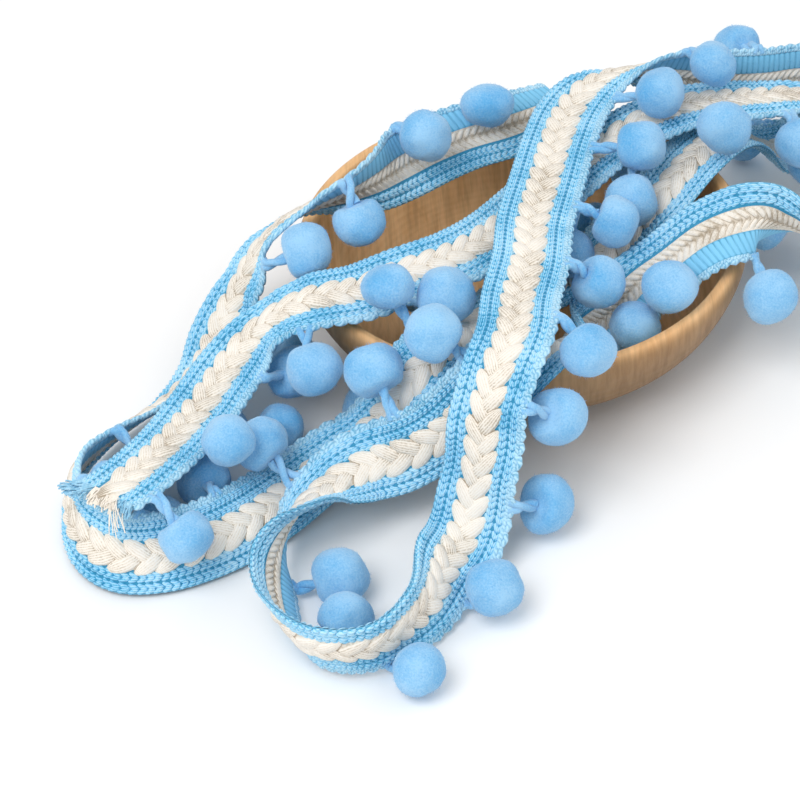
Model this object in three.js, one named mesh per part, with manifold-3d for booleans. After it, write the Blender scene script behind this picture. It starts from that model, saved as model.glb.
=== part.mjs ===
// A light blue braid trim with a cream plait and pompoms, looped loosely in and over a small wooden bowl.
// Millimetres, +Z up. The origin is the middle of the bowl's foot, on the surface that everything lies on.
import * as THREE from 'three';
import { mergeVertices } from 'three/addons/utils/BufferGeometryUtils.js';
import Module from 'manifold-3d';

const wasm = await Module();
wasm.setup();

// The braid: a flat woven band with a raised plait along the middle of its front.
const BAND_WIDTH = 15.4;
const BAND_THICKNESS = 1.4;
const PLAIT_WIDTH = 6.4;
const PLAIT_RISE = 1.3;
const PLAIT_WAIST = 0.8;
const PLAIT_DIP = 0.5;
const EDGE_GAP = 0.4;
const WELD = 1e-5;
const LIGHT_BLUE = 0x84c3f4;
const CREAM = 0xeae2d4;

// The picot edging: a narrow looped strip along one edge, in lengths that each carry three pompoms.
const PICOT_WIDTH = 1.4;
const PICOT_THICKNESS = 1.0;
const PICOT_SCALLOP = 0.5;
const POMPOMS_PER_STRIP = 3;

// The pompoms: felt balls on short stems.
const POMPOM_PITCH = 21.6;
const POMPOM_RADIUS = 6;
const STEM_RADIUS = 0.9;
const STEM_REACH = 10;
const STEM_SEAT = 0.85 * PICOT_WIDTH;
const BALL_SIDES = 6;
const BALL_RINGS = 4;

// How the loose pompoms settle: rounds of moving apart, the gap they keep,
// and how far a stem may shorten, or fold back over the edge it grows from if its hang says no more.
const SETTLE_ROUNDS = 300;
const CLEARANCE = 0.5;
const SHORTEST_REACH = 0.75;
const MOST_FOLD = 0.3;

// The band is laid in even steps, four from one pompom to the next.
const STEPS_PER_POMPOM = 4;
const FIRST_POMPOM_STEP = 1;
const STATION_STEP = POMPOM_PITCH / STEPS_PER_POMPOM;
const TRIALS_PER_ROW = 24;

// The bowl: its outer and inner profile as radius and height, turned about the Z axis.
const BOWL_SIDES = 40;
const WOOD_BROWN = 0xb98a57;
const BOWL_OUTSIDE = [[28, 0], [38, 5], [44, 10], [48, 17], [49.5, 22], [49.3, 24]];
const BOWL_RIM = [[48.4, 25], [46.8, 25]];
const BOWL_INSIDE = [[45.9, 24], [45.4, 21], [43.5, 16], [38.5, 10], [30, 6.3], [20, 5]];
const BOWL_FLOOR = 5;

// The middle of the bowl's wall and half its thickness, for keeping the pompoms clear of it.
const BOWL_WALL_MIDDLE = [[0, 2.5], [25, 3], [38, 7.5], [45.7, 16], [47.5, 23]];
const BOWL_HALF_WALL = 2.6;

// The route of the band's middle line, one table a stretch, chosen by hand from the photograph.
// Columns: x, y, z, roll and hang. Roll is in degrees about the direction of travel: at 0 the front faces up
// and the pompom edge is on the right, at 90 the band stands on its plain edge, at -90 on its pompom edge.
// Hang is how far the pompoms' stems fold from straight out of the edge towards the front, in degrees.
const ROUTE = {
  cutEndOverLeftLoop: [
    [-90, -72, 20, 3, -50],
    [-84, -65, 19.5, 3, -50],
    [-77, -54, 18, 2, -55],
    [-71, -42, 17, 0, -60],
    [-64, -30, 19, 0, -60],
    [-59, -26, 22.5, 0, -55],
  ],
  acrossBowlToRight: [
    [-53, -25, 27, -3, -50],
    [-46, -25, 30, -8, -45],
    [-36, -23, 30, -10, -10],
    [-26, -18, 30, -10, 15],
    [-15, -13, 30, -10, 15],
    [-6, -6, 30, -8, 15],
    [6, 8, 30, -5, -30],
    [18, 20, 31, 0, 15],
    [29, 27, 33, 0, 20],
    [40, 32, 33.5, 0, 30],
    [49, 35, 32, 0, 15],
    [58, 38, 30, 3, -20],
    [68, 41, 27, 8, -60],
  ],
  wideTurnAtRight: [
    [78, 37, 22, 25, -75],
    [86, 28, 17, 50, -60],
    [89, 17, 13, 62, -60],
    [86, 6, 12, 60, -70],
    [78, -2, 14, 35, -70],
    [69, -5, 18, 0, -40],
    [62, -6, 24.5, -28, -20],
  ],
  backUpOverRightRim: [
    [55, -10, 31, -68, -45],
    [50, -13, 34.5, -112, -45],
    [44, -14, 34, -142, -45],
    [38, -15, 32, -152, -60],
    [31, -16, 27, -153, -75],
    [24, -17, 22, -155, -90],
    [18, -21, 18, -150, -95],
    [11, -28, 18.5, -115, -95],
    [6, -37, 21.5, -60, 10],
    [3, -44.5, 28, -20, 20],
  ],
  downFrontOfBowl: [
    [-2, -50.5, 31, 10, 0],
    [-9, -55.5, 28.5, 32, -35],
    [-16, -59, 23.5, 52, -20],
    [-22, -61, 19.7, 64, -20],
    [-29, -62, 16.5, 60, -25],
    [-37, -61.5, 13.5, 32, 10],
    [-45, -66, 12.5, -5, 40],
    [-51, -73, 13, -45, 20],
  ],
  frontLoop: [
    [-55, -79, 11.5, -85, -60],
    [-57, -86, 10.5, -115, -75],
    [-57, -94, 10, -122, -75],
    [-55, -102, 10, -115, -75],
    [-50, -109, 10, -108, -75],
    [-43, -112, 10.5, -106, -70],
    [-37, -111, 10.5, -102, 75],
    [-31, -106, 10.5, -90, 75],
    [-26, -98, 9.5, -68, 10],
  ],
  broadRunOverBowl: [
    [-22, -87, 9, -40, -30],
    [-19, -80.5, 8, -20, -40],
    [-17, -76, 9.5, -10, -40],
    [-15.5, -73, 14, -8, -65],
    [-13.5, -70, 22, -3, -75],
    [-12, -66.5, 30, 0, -80],
    [-9, -61, 36.5, 0, -80],
    [-5, -51.5, 39, 0, -75],
    [-3, -39, 38, -5, -60],
    [0, -26, 37.5, -8, -45],
    [2, -12, 37, -8, -25],
    [6, 4, 36.5, -6, -15],
    [10, 19, 36.5, -3, -15],
    [14, 30, 36.5, 0, -20],
    [19, 37, 37, 8, -30],
  ],
  standingBehindBowl: [
    [25, 41, 37, 25, -60],
    [32, 43.5, 35.5, 52, -90],
    [40, 45.5, 32, 78, -95],
    [50, 48, 28, 88, 60],
    [60, 51.5, 25, 90, 135],
    [69, 56, 22.5, 88, 135],
  ],
  tightTurnAtRight: [
    [77, 59.5, 18.5, 85, 60],
    [84, 58.5, 14.5, 80, 70],
    [87, 54, 11.5, 75, 70],
    [84, 49.5, 10.5, 65, 20],
    [77, 47, 10, 45, -50],
    [69, 45, 10, 28, -70],
    [61, 41, 12.5, 12, -60],
  ],
  backAcrossBowl: [
    [54, 35.5, 20.5, 3, -60],
    [47, 26.5, 27.5, -3, -60],
    [39, 16, 29, -5, -60],
    [32, 9, 25.5, -3, -60],
    [25, 4, 21.5, 0, -60],
    [18, -2, 18, 0, -60],
    [9, -8, 17.5, 0, -60],
    [-1, -17, 19.5, 0, -60],
    [-10, -28, 23.5, 0, 20],
    [-17, -40, 28.5, 3, 55],
  ],
  downToLeftLoop: [
    [-24, -47, 26.5, 12, 30],
    [-30, -49.5, 20.5, 14, -20],
    [-36, -50, 13.5, 14, -20],
    [-42, -50.5, 8, 15, -20],
    [-50, -55, 5, 18, -20],
    [-57, -62, 5, 28, -40],
    [-64, -69, 6, 38, -60],
    [-72, -74, 6.5, 45, -70],
    [-80, -77, 7, 50, -75],
    [-88, -77, 7.5, 55, -80],
  ],
  leftLoop: [
    [-94, -73, 8, 62, -85],
    [-98, -66, 8.3, 70, -95],
    [-99, -58, 8.4, 72, -95],
    [-98, -51, 8.3, 68, -95],
    [-93, -43, 8, 58, -95],
    [-86, -35, 7.6, 45, -85],
    [-78, -27, 7.6, 38, -80],
    [-71, -17, 8.5, 25, -70],
  ],
  upOverLeftRim: [
    [-67, -8, 11, 10, -60],
    [-64, -4, 15, 8, -50],
    [-61, -2, 20, 10, -40],
    [-57, 0, 26, 18, -35],
    [-52, 1, 31, 30, -60],
    [-45, 3, 33.5, 45, -100],
    [-38, 5, 34.5, 65, -120],
    [-31, 10, 34, 90, -125],
  ],
  turnedAlongBackRim: [
    [-25, 17, 32.5, 120, -120],
    [-18, 24, 31, 142, -125],
    [-10, 29, 30.5, 150, -128],
    [-1, 33, 30, 152, -128],
    [6, 37, 29.5, 160, -128],
    [14, 42, 29, 172, -128],
  ],
};

const UP = new THREE.Vector3(0, 0, 1);

// Stations along the route at even distances: a point, the directions along, across and out, and the hang.
function layStations() {
  const rows = Object.values(ROUTE).flat();
  const points = rows.map(([x, y, z]) => new THREE.Vector3(x, y, z));
  const line = new THREE.CatmullRomCurve3(points, false, 'centripetal');
  const degrees = rows.map(([, , , roll, hang]) => new THREE.Vector3(roll, hang, 0));
  const turning = new THREE.CatmullRomCurve3(degrees, false, 'catmullrom');
  const fine = rows.length * TRIALS_PER_ROW;
  const lengths = [0];
  let last = line.getPoint(0);
  for (let i = 1; i <= fine; i += 1) {
    const here = line.getPoint(i / fine);
    lengths.push(lengths[i - 1] + here.distanceTo(last));
    last = here;
  }
  const count = Math.floor(lengths[fine] / STATION_STEP);
  const stations = [];
  let i = 0;
  for (let k = 0; k <= count; k += 1) {
    const goal = k * STATION_STEP;
    while (i < fine - 1 && lengths[i + 1] < goal) i += 1;
    const t = (i + (goal - lengths[i]) / (lengths[i + 1] - lengths[i])) / fine;
    const along = line.getTangent(Math.min(t, 1));
    const right = along.clone().cross(UP).normalize();
    const rise = right.clone().cross(along);
    const { x: roll, y: hang } = turning.getPoint(t).multiplyScalar(Math.PI / 180);
    const across = right.multiplyScalar(Math.cos(roll)).addScaledVector(rise, Math.sin(roll));
    stations.push({ point: line.getPoint(t), along, across, out: across.clone().cross(along), hang });
  }
  return stations;
}

// The place at a distance across and out from a station.
function place(station, across, out, along = 0) {
  return station.point.clone()
    .addScaledVector(station.across, across)
    .addScaledVector(station.out, out)
    .addScaledVector(station.along, along);
}

// A station half way between two others, on the straight line from one to the next.
function halfWay(a, b) {
  return {
    point: a.point.clone().lerp(b.point, 0.5),
    along: a.along.clone().lerp(b.along, 0.5),
    across: a.across.clone().lerp(b.across, 0.5),
    out: a.out.clone().lerp(b.out, 0.5),
  };
}

// A closed solid through rings of points that run the same way round, with a flat cap at each end.
function loft(rings) {
  const sides = rings[0].length;
  const positions = rings.flat().flatMap((p) => [p.x, p.y, p.z]);
  const index = [];
  for (let k = 0; k + 1 < rings.length; k += 1) {
    for (let j = 0; j < sides; j += 1) {
      const a = k * sides + j;
      const b = k * sides + ((j + 1) % sides);
      index.push(a, b, b + sides, a, b + sides, a + sides);
    }
  }
  const end = (rings.length - 1) * sides;
  for (let j = 1; j + 1 < sides; j += 1) {
    index.push(0, j + 1, j);
    index.push(end, end + j, end + j + 1);
  }
  const geometry = new THREE.BufferGeometry();
  geometry.setAttribute('position', new THREE.Float32BufferAttribute(positions, 3));
  geometry.setIndex(index);
  return geometry;
}

// One ring of the band: the plait's top, round the pompom edge, along the back and round the plain edge.
function bandRing(station, plaitHalf, plaitTop) {
  const half = BAND_WIDTH / 2;
  const skin = BAND_THICKNESS / 2;
  const seat = PLAIT_WIDTH / 2;
  return [
    place(station, -plaitHalf, plaitTop),
    place(station, plaitHalf, plaitTop),
    place(station, half, skin),
    place(station, half, -skin),
    place(station, seat, -skin),
    place(station, -seat, -skin),
    place(station, -half, -skin),
    place(station, -half, skin),
  ];
}

// The band, with the plait raised in its front: it swells and draws in by turns as its strands cross.
function bandGeometry(stations) {
  const seat = PLAIT_WIDTH / 2;
  const top = BAND_THICKNESS / 2 + PLAIT_RISE;
  const rings = [];
  stations.forEach((station, k) => {
    rings.push(bandRing(station, seat, top));
    if (k + 1 < stations.length) {
      rings.push(bandRing(halfWay(station, stations[k + 1]), seat - PLAIT_WAIST, top - PLAIT_DIP));
    }
  });
  const geometry = loft(rings);
  const cream = new THREE.Color(CREAM).toArray();
  const blue = new THREE.Color(LIGHT_BLUE).toArray();
  const ringColours = [cream, cream, blue, blue, cream, cream, blue, blue].flat();
  const colours = rings.flatMap(() => ringColours);
  geometry.setAttribute('color', new THREE.Float32BufferAttribute(colours, 3));
  return geometry;
}

// The nearest point of the bowl's middle wall to a place.
function nearestOnBowl(p) {
  const radius = Math.hypot(p.x, p.y);
  let best = null;
  for (let k = 0; k + 1 < BOWL_WALL_MIDDLE.length; k += 1) {
    const [r0, z0] = BOWL_WALL_MIDDLE[k];
    const [r1, z1] = BOWL_WALL_MIDDLE[k + 1];
    const length2 = (r1 - r0) ** 2 + (z1 - z0) ** 2;
    const t = THREE.MathUtils.clamp(((radius - r0) * (r1 - r0) + (p.z - z0) * (z1 - z0)) / length2, 0, 1);
    const r = r0 + t * (r1 - r0);
    const z = z0 + t * (z1 - z0);
    const distance = Math.hypot(radius - r, p.z - z);
    if (!best || distance < best.distance) best = { r, z, distance };
  }
  const turn = Math.atan2(p.y, p.x);
  return new THREE.Vector3(best.r * Math.cos(turn), best.r * Math.sin(turn), best.z);
}

// Moves a ball's centre away from a point until it is at least a given distance off.
function pushOff(centre, from, least) {
  const away = centre.clone().sub(from);
  const distance = away.length();
  if (distance < least && distance > 0) centre.addScaledVector(away, (least - distance) / distance);
}

// Starts each pompom where its stem points, and moves it clear of the band, bowl, floor and other pompoms.
// A stem folds back no more than a little, or as far as its hang says, unless the floor holds its ball up.
function settlePompoms(stations, roots) {
  const shells = [];
  for (let k = 0; k + 1 < stations.length; k += 1) {
    shells.push(stations[k], halfWay(stations[k], stations[k + 1]));
  }
  const skin = BAND_THICKNESS / 2;
  const edge = BAND_WIDTH / 2 + EDGE_GAP + PICOT_WIDTH;
  const balls = roots.map(({ root, aim }) => root.clone().addScaledVector(aim, STEM_REACH));
  for (let round = 0; round < SETTLE_ROUNDS; round += 1) {
    balls.forEach((ball, k) => {
      const { root, aim, across } = roots[k];
      const stem = ball.clone().sub(root);
      const reach = THREE.MathUtils.clamp(stem.length(), SHORTEST_REACH * STEM_REACH, STEM_REACH);
      const spare = stem.dot(across) + Math.max(MOST_FOLD, -aim.dot(across)) * reach;
      if (spare < 0 && ball.z > POMPOM_RADIUS) stem.addScaledVector(across, -spare);
      ball.copy(root).addScaledVector(stem.normalize(), reach);
      shells.forEach((shell) => {
        const offset = ball.clone().sub(shell.point);
        if (offset.length() > edge + 2 * POMPOM_RADIUS) return;
        const beside = THREE.MathUtils.clamp(offset.dot(shell.across), -BAND_WIDTH / 2, edge);
        const onPlait = offset.dot(shell.out) > 0 && Math.abs(beside) < PLAIT_WIDTH / 2;
        const proud = onPlait ? skin + PLAIT_RISE : skin;
        pushOff(ball, place(shell, beside, 0), POMPOM_RADIUS + proud + CLEARANCE);
      });
      balls.forEach((other, j) => {
        if (j !== k) pushOff(ball, other, 2 * POMPOM_RADIUS + CLEARANCE);
      });
      pushOff(ball, nearestOnBowl(ball), POMPOM_RADIUS + BOWL_HALF_WALL + CLEARANCE);
      ball.z = Math.max(ball.z, POMPOM_RADIUS);
    });
  }
  return balls;
}

// A closed geometry as a solid that can be joined.
function solidOf(geometry) {
  const bare = geometry.clone();
  bare.deleteAttribute('normal');
  bare.deleteAttribute('uv');
  const merged = mergeVertices(bare, WELD);
  return new wasm.Manifold(new wasm.Mesh({
    numProp: 3,
    vertProperties: new Float32Array(merged.attributes.position.array),
    triVerts: new Uint32Array(merged.index.array),
  }));
}

function geometryOf(solid) {
  const mesh = solid.getMesh();
  const geometry = new THREE.BufferGeometry();
  geometry.setAttribute('position', new THREE.BufferAttribute(new Float32Array(mesh.vertProperties), 3));
  geometry.setIndex(new THREE.BufferAttribute(new Uint32Array(mesh.triVerts), 1));
  return geometry;
}

// A ball on its stem, turned about the line from its root inside the strip to the ball's middle.
function pompomSolid(root, centre) {
  const stem = centre.clone().sub(root);
  const reach = stem.length();
  const neck = Math.asin(STEM_RADIUS / POMPOM_RADIUS);
  const profile = [new THREE.Vector2(0, 0), new THREE.Vector2(STEM_RADIUS, 0)];
  for (let k = 0; k < BALL_RINGS; k += 1) {
    const turn = neck + (k * (Math.PI - neck)) / BALL_RINGS;
    profile.push(new THREE.Vector2(POMPOM_RADIUS * Math.sin(turn), reach - POMPOM_RADIUS * Math.cos(turn)));
  }
  profile.push(new THREE.Vector2(0, reach + POMPOM_RADIUS));
  const ball = new THREE.LatheGeometry(profile, BALL_SIDES);
  const upright = new THREE.Vector3(0, 1, 0);
  ball.applyQuaternion(new THREE.Quaternion().setFromUnitVectors(upright, stem.normalize()));
  ball.translate(root.x, root.y, root.z);
  return solidOf(ball);
}

// One length of the picot edging, of three-sided section, scalloped along its outer side between the stems.
function picotStrip({ stations, firstStem }) {
  const inner = BAND_WIDTH / 2 + EDGE_GAP;
  const skin = PICOT_THICKNESS / 2;
  const last = stations.length - 1;
  const rings = stations.map((station, k) => {
    const outer = inner + PICOT_WIDTH - PICOT_SCALLOP * ((k + firstStem) % 2);
    const trim = (k === 0 ? EDGE_GAP / 2 : 0) - (k === last ? EDGE_GAP / 2 : 0);
    return [
      place(station, inner, -skin, trim),
      place(station, inner, skin, trim),
      place(station, outer, 0, trim),
    ];
  });
  return loft(rings);
}

const braid = new THREE.MeshStandardMaterial({ vertexColors: true, roughness: 0.9, metalness: 0 });
const felt = new THREE.MeshStandardMaterial({ color: LIGHT_BLUE, roughness: 0.95, metalness: 0 });
const wood = new THREE.MeshStandardMaterial({ color: WOOD_BROWN, roughness: 0.55, metalness: 0 });

const trim = new THREE.Group();

function addMesh(name, geometry, material) {
  const mesh = new THREE.Mesh(geometry, material);
  mesh.name = name;
  trim.add(mesh);
}

const stations = layStations();
addMesh('band', bandGeometry(stations), braid);

const strips = [];
const halfPitch = STEPS_PER_POMPOM / 2;
const lastStation = stations.length - 1;
for (let first = FIRST_POMPOM_STEP; first < lastStation; first += POMPOMS_PER_STRIP * STEPS_PER_POMPOM) {
  const roots = [];
  let end = 0;
  for (let k = 0; k < POMPOMS_PER_STRIP; k += 1) {
    const at = first + k * STEPS_PER_POMPOM;
    if (at >= lastStation) break;
    const station = stations[at];
    const root = place(station, BAND_WIDTH / 2 + EDGE_GAP + STEM_SEAT, 0);
    const aim = station.across.clone().multiplyScalar(Math.cos(station.hang));
    aim.addScaledVector(station.out, Math.sin(station.hang));
    roots.push({ root, aim, across: station.across });
    end = Math.min(at + halfPitch, lastStation);
  }
  const start = Math.max(first - halfPitch, 0);
  strips.push({ stations: stations.slice(start, end + 1), firstStem: first - start, roots });
}

const balls = settlePompoms(stations, strips.flatMap((strip) => strip.roots));
strips.forEach((strip, s) => {
  let solid = solidOf(picotStrip(strip));
  strip.roots.forEach(({ root }, k) => {
    solid = solid.add(pompomSolid(root, balls[s * POMPOMS_PER_STRIP + k]));
  });
  addMesh(`pompoms_${String(s + 1).padStart(2, '0')}`, geometryOf(solid), felt);
});

const profile = [[0, 0], ...BOWL_OUTSIDE, ...BOWL_RIM, ...BOWL_INSIDE, [0, BOWL_FLOOR]];
const bowl = new THREE.LatheGeometry(profile.map(([r, z]) => new THREE.Vector2(r, z)), BOWL_SIDES);
bowl.rotateX(Math.PI / 2);
addMesh('bowl', bowl, wood);

export default trim;
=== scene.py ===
import math

import bmesh
import bpy
import numpy as np
from mathutils import Matrix, Vector


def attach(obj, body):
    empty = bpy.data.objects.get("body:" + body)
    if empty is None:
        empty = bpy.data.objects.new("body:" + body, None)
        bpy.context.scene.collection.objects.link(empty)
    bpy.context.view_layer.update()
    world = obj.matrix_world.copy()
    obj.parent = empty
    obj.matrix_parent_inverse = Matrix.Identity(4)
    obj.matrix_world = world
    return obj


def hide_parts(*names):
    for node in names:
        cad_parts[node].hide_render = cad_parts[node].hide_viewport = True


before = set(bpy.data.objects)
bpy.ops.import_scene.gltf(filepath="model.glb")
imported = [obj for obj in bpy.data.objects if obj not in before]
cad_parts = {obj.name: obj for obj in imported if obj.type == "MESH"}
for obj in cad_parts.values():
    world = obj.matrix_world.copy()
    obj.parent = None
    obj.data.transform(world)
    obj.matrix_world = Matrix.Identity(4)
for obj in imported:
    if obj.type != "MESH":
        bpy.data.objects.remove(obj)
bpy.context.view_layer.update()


# The camera stands well back in front of the bowl with a long lens, and looks down on it from about
# 40 degrees. It is tipped a little to one side.
MM = 0.001
CAMERA_PLACE = (-29, -564.5, 450)
LOOK_DOWN = math.radians(39.8)
LOOK_TIP = math.radians(-4.0)
LENS_MM = 144.6
SENSOR_MM = 36

level_right = Vector((1, 0, 0))
level_up = Vector((0, math.sin(LOOK_DOWN), math.cos(LOOK_DOWN)))
view_right = level_right * math.cos(LOOK_TIP) + level_up * math.sin(LOOK_TIP)
view_up = level_up * math.cos(LOOK_TIP) - level_right * math.sin(LOOK_TIP)
view_back = view_right.cross(view_up)
camera = bpy.data.objects.new("camera", bpy.data.cameras.new("camera"))
camera.data.lens = LENS_MM
camera.data.sensor_width = SENSOR_MM
camera.data.clip_start = 0.01
camera.matrix_world = Matrix.Translation(Vector(CAMERA_PLACE) * MM) @ Matrix(
    (view_right, view_up, view_back)).transposed().to_4x4()
bpy.context.collection.objects.link(camera)
bpy.context.scene.camera = camera


# The floor is one plain sheet of pale paper, so wide that no edge of it is in sight.
# A large soft box in front and a small one at the side light it, in an even pale room.
def add(tree, kind, sockets=(), **settings):
    """A node in a tree. Each socket's value is a number to set or another socket to link to it."""
    made = tree.nodes.new(kind)
    for name, value in settings.items():
        setattr(made, name, value)
    for name, value in dict(sockets).items():
        if isinstance(value, bpy.types.NodeSocket):
            tree.links.new(value, made.inputs[name])
        else:
            made.inputs[name].default_value = value
    return made


def finish_of(name, **constants):
    """A material with one Principled shader, and the shader's constant values set on its own sockets."""
    material = bpy.data.materials.new(name)
    material.use_nodes = True
    tree = material.node_tree
    shader = tree.nodes["Principled BSDF"]
    for socket, value in constants.items():
        shader.inputs[socket.replace("_", " ")].default_value = value
    return material, tree, shader


def mesh_piece(name, points, faces):
    """An object with a smooth mesh from arrays of points in metres and faces."""
    mesh = bpy.data.meshes.new(name)
    mesh.from_pydata(np.asarray(points).tolist(), [], [list(map(int, face)) for face in faces])
    mesh.shade_smooth()
    piece = bpy.data.objects.new(name, mesh)
    bpy.context.collection.objects.link(piece)
    return piece


FLOOR_HALF = 4.0
PAPER_WHITE = (0.93, 0.93, 0.93, 1)
ROOM_LIGHT = 0.72

floor = mesh_piece("floor", [(x * FLOOR_HALF, y * FLOOR_HALF, 0)
                             for x, y in ((-1, -1), (1, -1), (1, 1), (-1, 1))], [(0, 1, 2, 3)])
paper, _, _ = finish_of("paper", Base_Color=PAPER_WHITE, Roughness=0.9, Specular_IOR_Level=0.1)
floor.data.materials.append(paper)

for name, place, size, watts in (("key_box", (-0.35, -0.5, 0.85), 0.6, 5.6),
                                 ("side_box", (0.75, 0.1, 0.6), 0.5, 1.2)):
    lamp = bpy.data.objects.new(name, bpy.data.lights.new(name, "AREA"))
    lamp.data.size = size
    lamp.data.energy = watts
    lamp.location = place
    lamp.rotation_mode = "QUATERNION"
    lamp.rotation_quaternion = (-Vector(place)).to_track_quat("-Z", "Y")
    bpy.context.collection.objects.link(lamp)
room = bpy.data.worlds.new("room")
room.use_nodes = True
room.node_tree.nodes["Background"].inputs["Color"].default_value = (1, 1, 1, 1)
room.node_tree.nodes["Background"].inputs["Strength"].default_value = ROOM_LIGHT
bpy.context.scene.world = room
bpy.context.scene.view_settings.view_transform = "Standard"


# The bowl is turned from one piece of pale wood on a lathe, thin walled, with a softly rounded rim.
# Its fine grain runs across it and the tool has left faint rings. Painted shade darkens the outside towards
# the foot, and a painted highlight lightens the rim and, a little, the inside. It stands on that foot and
# carries the trim.
BOWL_PROFILE = [  # radius, height
    (28, 0), (38, 5), (44, 10), (48, 17), (49.5, 22), (49.3, 24), (48.4, 25), (46.8, 25), (45.9, 24),
    (45.4, 21), (43.5, 16), (38.5, 10), (30, 6.3), (20, 5), (10, 5)]
BOWL_STEPS_ROUND = 144
BOWL_STEPS_ALONG = 6
# painted light: the outside darkens towards the foot, the rim and the inside are lightened
BOWL_PAINTED_LIGHT = (  # row of the profile, tone
    (0, 0.32), (3, 0.45), (4.6, 0.58), (5.3, 0.8), (6, 1.15), (7, 1.2), (8, 1.06), (14, 1.06))
WOOD_PALE = (0.74, 0.455, 0.225, 1)
WOOD_WARM = (0.66, 0.385, 0.178, 1)
WOOD_DARK = (0.55, 0.305, 0.13, 1)
GRAIN_SCALE = (140, 20, 26)
PORE_SCALE = (1200, 90, 140)
GRAIN_TURN = (0, 0, 0.25)


def smooth_line(rows, steps, even=False):
    """Points on a smooth line through rows. An even line weighs each row alike, another by distance."""
    rows = np.asarray(rows, float)
    padded = np.vstack([2 * rows[0] - rows[1], rows, 2 * rows[-1] - rows[-2]])
    a, b, c, d = padded[:-3], padded[1:-2], padded[2:-1], padded[3:]
    if even:
        before = here = after = np.ones((len(a), 1))
    else:
        before, here, after = (np.sqrt(np.linalg.norm(q - p, axis=1, keepdims=True))
                               for p, q in ((a, b), (b, c), (c, d)))
    leave = here * ((b - a) / before - (c - a) / (before + here) + (c - b) / here)
    reach = here * ((c - b) / here - (d - b) / (here + after) + (d - c) / after)
    u = np.linspace(0, 1, steps, endpoint=False)[None, :, None]
    cubic = (b[:, None] + leave[:, None] * u + (3 * (c - b) - 2 * leave - reach)[:, None] * u ** 2
             + (2 * (b - c) + leave + reach)[:, None] * u ** 3)
    return np.vstack([cubic.reshape(-1, rows.shape[1]), rows[-1:]])


def strip_faces(rows, columns, closed):
    """Quads over a grid of points, row by row. A closed grid joins each row's last point to its first."""
    r, c = np.meshgrid(np.arange(rows - 1), np.arange(columns if closed else columns - 1), indexing="ij")
    beside = (c + 1) % columns
    quads = [r * columns + c, r * columns + beside, (r + 1) * columns + beside, (r + 1) * columns + c]
    return np.stack(quads, axis=-1).reshape(-1, 4)


bowl_line = smooth_line(BOWL_PROFILE, BOWL_STEPS_ALONG)
turns = np.linspace(0, 2 * math.pi, BOWL_STEPS_ROUND, endpoint=False)
rings = np.stack([bowl_line[:, :1] * np.cos(turns), bowl_line[:, :1] * np.sin(turns),
                  np.repeat(bowl_line[:, 1:], BOWL_STEPS_ROUND, axis=1)], axis=-1).reshape(-1, 3)
bowl_faces = [list(face) for face in strip_faces(len(bowl_line), BOWL_STEPS_ROUND, True)]
bowl_faces.append(list(range(BOWL_STEPS_ROUND))[::-1])
bowl_faces.append(list(range(len(rings) - BOWL_STEPS_ROUND, len(rings))))
bowl = mesh_piece("turned_bowl", rings * MM, bowl_faces)
# painted shade and highlight, one tone for each ring of the bowl
oil = np.interp(np.arange(len(bowl_line)) / BOWL_STEPS_ALONG, *zip(*BOWL_PAINTED_LIGHT))
bowl.data.attributes.new("oil", "FLOAT", "POINT").data.foreach_set(
    "value", np.repeat(oil, BOWL_STEPS_ROUND).astype(np.float32))

wood, tree, shader = finish_of("turned_wood", Specular_IOR_Level=0.35)
spot = add(tree, "ShaderNodeTexCoord").outputs["Object"]
board = add(tree, "ShaderNodeMapping", {"Vector": spot, "Scale": GRAIN_SCALE, "Rotation": GRAIN_TURN})
grain = add(tree, "ShaderNodeTexNoise", {"Vector": board.outputs[0], "Scale": 1.6, "Detail": 6,
                                         "Roughness": 0.62, "Distortion": 1.0})
pores = add(tree, "ShaderNodeMapping", {"Vector": spot, "Scale": PORE_SCALE, "Rotation": GRAIN_TURN})
pore = add(tree, "ShaderNodeTexNoise", {"Vector": pores.outputs[0], "Scale": 1.0, "Detail": 3})
tones = add(tree, "ShaderNodeValToRGB", {"Fac": grain.outputs["Fac"]})
tones.color_ramp.elements[0].position = 0.3
tones.color_ramp.elements[0].color = WOOD_DARK
tones.color_ramp.elements[1].position = 0.68
tones.color_ramp.elements[1].color = WOOD_PALE
tones.color_ramp.elements.new(0.47).color = WOOD_WARM
flecks = add(tree, "ShaderNodeMapRange", {"Value": pore.outputs["Fac"], "From Min": 0.35, "From Max": 0.6,
                                          "To Min": 0.85, "To Max": 1.04})
# painted shade towards the foot and painted highlight on the rim, times the flecks of the pores
shade_and_highlight_tone = add(tree, "ShaderNodeAttribute", attribute_name="oil").outputs["Fac"]
shade = add(tree, "ShaderNodeMath", {0: shade_and_highlight_tone, 1: flecks.outputs[0]}, operation="MULTIPLY").outputs[0]
wood_tone = add(tree, "ShaderNodeVectorMath", {0: tones.outputs["Color"], 1: shade}, operation="MULTIPLY")
tree.links.new(wood_tone.outputs[0], shader.inputs["Base Color"])
dull = add(tree, "ShaderNodeMapRange", {"Value": pore.outputs["Fac"], "To Min": 0.62, "To Max": 0.42})
tree.links.new(dull.outputs[0], shader.inputs["Roughness"])
tool_rings = add(tree, "ShaderNodeTexWave", {"Vector": spot, "Scale": 240, "Distortion": 1.5, "Detail": 2},
                 wave_type="RINGS", rings_direction="Z")
relief = add(tree, "ShaderNodeMath", {0: tool_rings.outputs["Fac"], 1: pore.outputs["Fac"]}, operation="ADD")
wood_bump = add(tree, "ShaderNodeBump", {"Height": relief.outputs[0], "Strength": 0.25, "Distance": 0.0002})
tree.links.new(wood_bump.outputs[0], shader.inputs["Normal"])
bowl.data.materials.append(wood)
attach(bowl, "root")
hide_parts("bowl")
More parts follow.
